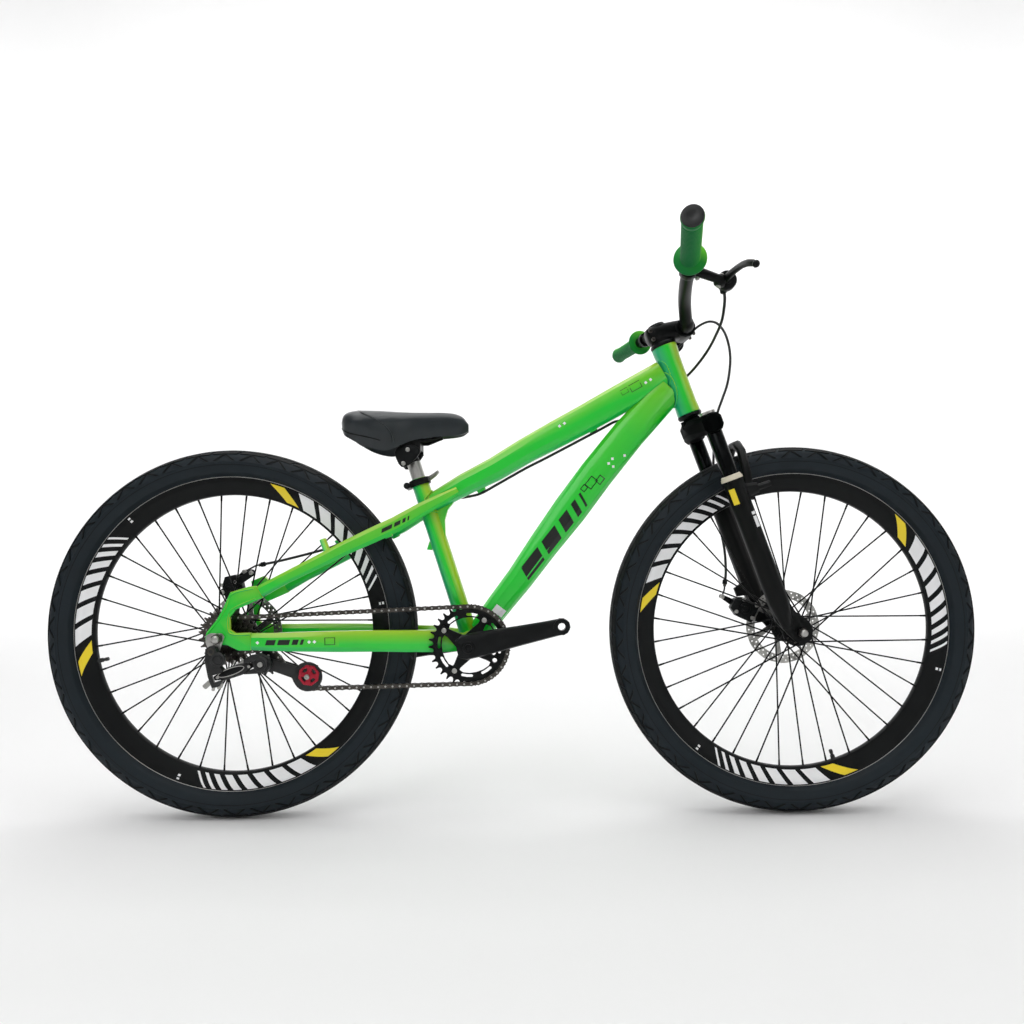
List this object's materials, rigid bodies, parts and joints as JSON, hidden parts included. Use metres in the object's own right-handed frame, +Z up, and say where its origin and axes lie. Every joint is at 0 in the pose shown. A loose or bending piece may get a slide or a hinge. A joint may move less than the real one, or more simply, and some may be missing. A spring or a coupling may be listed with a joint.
{
  "type": "freeride bike",
  "caption": "Hardtail freeride bicycle with suspension fork, spoked wheels, chain drive with rear gear, and cable disc brakes.",
  "frame": {"origin": "on the ground, midway between the wheel hubs, in the bike's middle plane", "axes": "+X forward, +Y to the rider's left, +Z up"},
  "size_m": [1.697, 0.7478, 0.9555],
  "materials": {
    "green_paint": "gloss",
    "black_paint": "gloss",
    "black_anodised": "satin",
    "rubber": "matte",
    "green_rubber": "matte",
    "steel": "satin",
    "dark_steel": "satin",
    "cream_plastic": "satin",
    "black_plastic": "satin",
    "red_plastic": "gloss",
    "saddle_cover": "satin",
    "cable_housing": "satin"
  },
  "bodies": {
    "frame": {"head_tube": "green_paint", "top_tube": "green_paint", "down_tube": "green_paint", "seat_tube": "green_paint", "bb_shell": "green_paint", "chainstay_left": "green_paint", "chainstay_right": "green_paint", "seatstay_left": "green_paint", "seatstay_right": "green_paint", "dropout_left": "green_paint", "dropout_right": "green_paint", "headset_upper": "black_anodised", "headset_lower": "black_anodised", "seat_clamp": "black_anodised", "rear_axle": "dark_steel", "rear_caliper": "black_paint", "rear_brake_cable": "cable_housing", "chain": "dark_steel", "derailleur_hanger": "steel", "derailleur_body": "black_plastic"},
    "steering": {"fork_crown": "black_paint", "stanchion_left": "black_anodised", "stanchion_right": "black_anodised", "stem": "black_paint", "handlebar": "black_paint", "grip_left": "green_rubber", "grip_right": "green_rubber", "lever_bracket_left": "black_paint", "lever_bracket_right": "black_paint", "front_brake_cable": "cable_housing"},
    "fork_lowers": {"fork_lowers": "black_paint", "seal_left": "cream_plastic", "seal_right": "cream_plastic", "front_axle": "dark_steel", "front_caliper": "black_paint"},
    "front_wheel": {"front_tyre": "rubber", "front_rim": "black_anodised", "front_hub": "black_anodised", "front_rotor": "steel"},
    "rear_wheel": {"rear_tyre": "rubber", "rear_rim": "black_anodised", "rear_hub": "black_anodised", "rear_rotor": "steel"},
    "cassette": {"cassette": "dark_steel"},
    "crankset": {"crank_left": "black_anodised", "crank_right": "black_anodised", "chainring": "black_anodised"},
    "derailleur_link": {"derailleur_link": "black_plastic"},
    "derailleur_knuckle": {"derailleur_knuckle": "black_plastic"},
    "derailleur_cage": {"derailleur_cage": "black_plastic"},
    "guide_pulley": {"guide_pulley": "black_plastic"},
    "tension_pulley": {"tension_pulley": "red_plastic"},
    "lever_left": {"brake_lever_left": "black_paint"},
    "lever_right": {"brake_lever_right": "black_paint"},
    "front_arm": {"front_caliper_arm": "black_anodised"},
    "rear_arm": {"rear_caliper_arm": "black_anodised"},
    "seatpost": {"seatpost": "steel"},
    "saddle": {"saddle": "saddle_cover", "saddle_rails": "black_paint"},
    "qr_lever": {"qr_lever": "steel"}
  },
  "joints": [
    {"name": "steer", "type": "hinge", "parent": "frame", "child": "steering", "pos_m": [0.30381, 0, 0.79675], "axis": [-0.3486, 0, 0.9373], "range_deg": [-75, 75], "deforming": ["rear_brake_cable"]},
    {"name": "fork_slide", "type": "slide", "parent": "steering", "child": "fork_lowers", "axis": [-0.3486, 0, 0.9373], "range_m": [0, 0.045], "stiffness_N_per_m": 7000, "springref_m": -0.02, "deforming": ["front_brake_cable"]},
    {"name": "front_wheel_spin", "type": "hinge", "parent": "fork_lowers", "child": "front_wheel", "pos_m": [0.5125, 0, 0.336], "axis": [0, 1, 0], "continuous": true},
    {"name": "rear_wheel_spin", "type": "hinge", "parent": "frame", "child": "rear_wheel", "pos_m": [-0.5125, 0, 0.336], "axis": [0, 1, 0], "continuous": true},
    {"name": "crank_spin", "type": "hinge", "parent": "frame", "child": "crankset", "pos_m": [-0.0782, 0, 0.3175], "axis": [0, 1, 0], "continuous": true, "deforming": ["chain"]},
    {"name": "cassette_spin", "type": "hinge", "parent": "frame", "child": "cassette", "pos_m": [-0.5125, 0, 0.336], "axis": [0, 1, 0], "continuous": true, "deforming": ["chain"]},
    {"name": "shift_link", "type": "hinge", "parent": "frame", "child": "derailleur_link", "pos_m": [-0.511, -0.0812, 0.27], "axis": [-0.3139, 0, 0.9495], "range_deg": [-17, 17], "deforming": ["chain"]},
    {"name": "shift_knuckle", "type": "hinge", "parent": "derailleur_link", "child": "derailleur_knuckle", "pos_m": [-0.462, -0.0683, 0.2862], "axis": [-0.3139, 0, 0.9495], "range_deg": [-17, 17], "deforming": ["chain"]},
    {"name": "cage_swing", "type": "hinge", "parent": "derailleur_knuckle", "child": "derailleur_cage", "pos_m": [-0.439, -0.0478, 0.2907], "axis": [0, 1, 0], "range_deg": [-12, 50], "stiffness_Nm_per_rad": 1.5, "deforming": ["chain"]},
    {"name": "guide_spin", "type": "hinge", "parent": "derailleur_cage", "child": "guide_pulley", "pos_m": [-0.439, -0.0478, 0.2907], "axis": [0, 1, 0], "continuous": true, "deforming": ["chain"]},
    {"name": "tension_spin", "type": "hinge", "parent": "derailleur_cage", "child": "tension_pulley", "pos_m": [-0.36435, -0.0478, 0.26484], "axis": [0, 1, 0], "continuous": true, "deforming": ["chain"]},
    {"name": "lever_left_pull", "type": "hinge", "parent": "steering", "child": "lever_left", "pos_m": [0.3385, 0.206, 0.9105], "axis": [0.2798, 0.04, 0.9592], "range_deg": [0, 22], "stiffness_Nm_per_rad": 0.8, "springref_deg": -8.59, "deforming": ["front_brake_cable"]},
    {"name": "lever_right_pull", "type": "hinge", "parent": "steering", "child": "lever_right", "pos_m": [0.3385, -0.206, 0.9105], "axis": [-0.2798, 0.04, -0.9592], "range_deg": [0, 22], "stiffness_Nm_per_rad": 0.8, "springref_deg": -8.59, "deforming": ["rear_brake_cable"]},
    {"name": "front_arm_pull", "type": "hinge", "parent": "fork_lowers", "child": "front_arm", "pos_m": [0.4361, 0.0526, 0.3722], "axis": [0, 1, 0], "range_deg": [0, 16]},
    {"name": "rear_arm_pull", "type": "hinge", "parent": "frame", "child": "rear_arm", "pos_m": [-0.54, 0.0626, 0.419], "axis": [0, 1, 0], "range_deg": [0, 16]},
    {"name": "post_slide", "type": "slide", "parent": "frame", "child": "seatpost", "axis": [-0.3007, 0, 0.9537], "range_m": [-0.02, 0.085]},
    {"name": "saddle_tilt", "type": "hinge", "parent": "seatpost", "child": "saddle", "pos_m": [-0.18886, 0, 0.66847], "axis": [0, 1, 0], "range_deg": [-12, 12]},
    {"name": "collar_lever_turn", "type": "hinge", "parent": "frame", "child": "qr_lever", "pos_m": [-0.19332, 0.0185, 0.60425], "axis": [-0.3007, 0, 0.9537], "range_deg": [0, 150]}
  ],
  "couplings": [
    {"joint": "cassette_spin", "follows": "crank_spin", "ratio": 2.125},
    {"joint": "tension_spin", "follows": "crank_spin", "ratio": 3.0909},
    {"joint": "guide_spin", "follows": "crank_spin", "ratio": -3.0909},
    {"joint": "shift_knuckle", "follows": "shift_link", "ratio": -1},
    {"joint": "front_arm_pull", "follows": "lever_left_pull", "ratio": 0.7},
    {"joint": "rear_arm_pull", "follows": "lever_right_pull", "ratio": 0.7}
  ]
}
